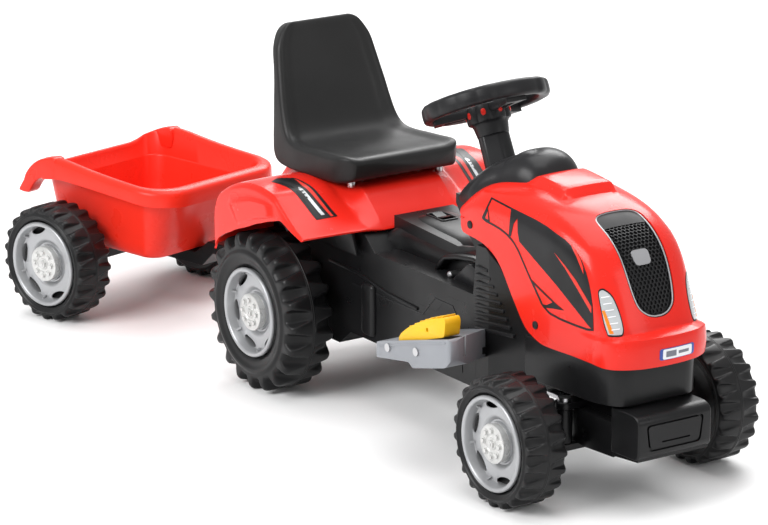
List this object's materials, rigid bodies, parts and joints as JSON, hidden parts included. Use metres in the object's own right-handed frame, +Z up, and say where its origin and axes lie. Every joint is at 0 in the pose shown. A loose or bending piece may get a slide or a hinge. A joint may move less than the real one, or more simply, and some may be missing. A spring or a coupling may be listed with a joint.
{
  "type": "ride-on toy tractor with trailer",
  "caption": "Child's battery ride-on toy tractor with bucket seat, steered front wheels, foot pedal and a towed tipper-style trailer on a swivelling drawbar.",
  "frame": {"origin": "centre of the footprint on the floor, with the front wheels straight and the trailer turned 13.6 degrees", "axes": "+X towards the tractor's front, +Y to the driver's left, +Z up"},
  "size_m": [1.4228, 0.507, 0.5351],
  "materials": {
    "battery_case": "plain",
    "black_body": "satin",
    "black_cover": "satin",
    "black_grip": "ribbed",
    "black_mesh": "glossy",
    "black_seat": "fine grain, satin",
    "black_tyre": "blow-moulded, satin",
    "gear_white": "plain nylon",
    "lamp_clear": "clear moulded lamp",
    "red_shell": "glossy",
    "red_trim": "glossy",
    "red_tub": "glossy",
    "silver_board": "silver grey, satin",
    "silver_cap": "silver moulded",
    "silver_rim": "silver moulded",
    "steel": "zinc plated",
    "yellow_pedal": "glossy"
  },
  "bodies": {
    "tractor": {"axle_carrier": "black_body", "battery": "battery_case", "board_screws": "steel", "charge_socket": "black_body", "chassis_lower": "black_body", "chassis_upper": "black_body", "column_tube": "black_body", "dash_cover": "black_cover", "fender_shell": "red_shell", "footboard_left": "silver_board", "footboard_right": "silver_board", "gearbox_housing": "black_body", "grille": "black_mesh", "headlamps": "lamp_clear", "hitch_bracket": "black_body", "hitch_pin": "steel", "hood": "red_shell", "hood_screws": "steel", "kingpins": "steel", "motor": "steel", "pedal_hinge_pin": "steel", "pedal_switch": "black_body", "rear_axle": "steel", "rear_axle_bush": "gear_white", "seat": "black_seat", "seat_bolts": "steel"},
    "right_drive_wheel": {"rear_tyre_right": "black_tyre", "rear_rim_right": "silver_rim", "rear_cap_right": "silver_cap", "drive_gear": "gear_white"},
    "left_rear_wheel": {"rear_tyre_left": "black_tyre", "rear_rim_left": "silver_rim", "rear_cap_left": "silver_cap"},
    "idler": {"idler_gear": "gear_white"},
    "pinion": {"motor_pinion": "gear_white"},
    "right_knuckle": {"knuckle_right": "steel"},
    "left_knuckle": {"knuckle_left": "steel"},
    "right_front_wheel": {"front_tyre_right": "black_tyre", "front_rim_right": "silver_rim", "front_cap_right": "silver_cap"},
    "left_front_wheel": {"front_tyre_left": "black_tyre", "front_rim_left": "silver_rim", "front_cap_left": "silver_cap"},
    "tie_bar": {"tie_rod": "steel"},
    "steering": {"steering_rod": "steel", "steering_wheel": "black_grip", "hub_insert": "red_trim"},
    "left_horn": {"horn_button_left": "red_trim"},
    "right_horn": {"horn_button_right": "red_trim"},
    "drive_pedal": {"pedal": "yellow_pedal"},
    "direction_switch": {"direction_rocker": "black_body"},
    "trailer": {"trailer_tub": "red_tub", "trailer_drawbar": "black_body", "trailer_axle": "steel"},
    "right_trailer_wheel": {"trailer_tyre_right": "black_tyre", "trailer_rim_right": "silver_rim", "trailer_cap_right": "silver_cap"},
    "left_trailer_wheel": {"trailer_tyre_left": "black_tyre", "trailer_rim_left": "silver_rim", "trailer_cap_left": "silver_cap"}
  },
  "joints": [
    {"name": "right_drive_wheel_spin", "type": "hinge", "parent": "tractor", "child": "right_drive_wheel", "pos_m": [-0.0526, -0.10751, 0.12009], "axis": [0, 1, 0], "continuous": true},
    {"name": "left_rear_wheel_spin", "type": "hinge", "parent": "tractor", "child": "left_rear_wheel", "pos_m": [-0.0526, 0.21249, 0.12009], "axis": [0, 1, 0], "continuous": true},
    {"name": "idler_spin", "type": "hinge", "parent": "tractor", "child": "idler", "pos_m": [-0.0346, -0.00751, 0.15126], "axis": [0, 1, 0], "continuous": true},
    {"name": "pinion_spin", "type": "hinge", "parent": "tractor", "child": "pinion", "pos_m": [-0.0046, 0.01249, 0.15126], "axis": [0, 1, 0], "continuous": true},
    {"name": "steering_turn", "type": "hinge", "parent": "tractor", "child": "steering", "pos_m": [0.2674, 0.05249, 0.48009], "axis": [-0.4384, 0, 0.8988], "range_deg": [-35, 35]},
    {"name": "right_knuckle_turn", "type": "hinge", "parent": "tractor", "child": "right_knuckle", "pos_m": [0.5644, -0.02251, 0.09159], "axis": [0, 0, 1], "range_deg": [-20.1, 20.1]},
    {"name": "left_knuckle_turn", "type": "hinge", "parent": "tractor", "child": "left_knuckle", "pos_m": [0.5644, 0.12749, 0.09159], "axis": [0, 0, 1], "range_deg": [-20.1, 20.1]},
    {"name": "tie_bar_slide", "type": "slide", "parent": "tractor", "child": "tie_bar", "axis": [0, 1, 0], "range_m": [-0.0172, 0.0172]},
    {"name": "right_front_wheel_spin", "type": "hinge", "parent": "right_knuckle", "child": "right_front_wheel", "pos_m": [0.5644, -0.11351, 0.09159], "axis": [0, 1, 0], "continuous": true},
    {"name": "left_front_wheel_spin", "type": "hinge", "parent": "left_knuckle", "child": "left_front_wheel", "pos_m": [0.5644, 0.21849, 0.09159], "axis": [0, 1, 0], "continuous": true},
    {"name": "left_horn_press", "type": "slide", "parent": "steering", "child": "left_horn", "axis": [0.4384, 0, -0.8988], "range_m": [0, 0.002], "stiffness_N_per_m": 600, "springref_m": -0.001},
    {"name": "right_horn_press", "type": "slide", "parent": "steering", "child": "right_horn", "axis": [0.4384, 0, -0.8988], "range_m": [0, 0.002], "stiffness_N_per_m": 600, "springref_m": -0.001},
    {"name": "pedal_press", "type": "hinge", "parent": "tractor", "child": "drive_pedal", "pos_m": [0.3314, -0.10551, 0.16609], "axis": [0, 1, 0], "range_deg": [0, 7.5], "stiffness_Nm_per_rad": 4, "springref_deg": -8.59},
    {"name": "direction_rock", "type": "hinge", "parent": "tractor", "child": "direction_switch", "pos_m": [0.1624, 0.05249, 0.27609], "axis": [0, 1, 0], "range_deg": [-10, 10]},
    {"name": "trailer_yaw", "type": "hinge", "parent": "tractor", "child": "trailer", "pos_m": [-0.2026, 0.05249, 0.11709], "axis": [0, 0, 1], "range_deg": [-53.6, 26.4]},
    {"name": "right_trailer_wheel_spin", "type": "hinge", "parent": "trailer", "child": "right_trailer_wheel", "pos_m": [-0.53583, -0.19891, 0.09159], "axis": [-0.2351, 0.972, 0], "continuous": true},
    {"name": "left_trailer_wheel_spin", "type": "hinge", "parent": "trailer", "child": "left_trailer_wheel", "pos_m": [-0.61389, 0.12378, 0.09159], "axis": [-0.2351, 0.972, 0], "continuous": true}
  ],
  "couplings": [
    {"joint": "idler_spin", "follows": "right_drive_wheel_spin", "ratio": -3},
    {"joint": "pinion_spin", "follows": "right_drive_wheel_spin", "ratio": 9},
    {"joint": "right_knuckle_turn", "follows": "steering_turn", "ratio": 0.5714},
    {"joint": "left_knuckle_turn", "follows": "steering_turn", "ratio": 0.5714},
    {"joint": "tie_bar_slide", "follows": "steering_turn", "m_per_rad": -0.0275}
  ]
}
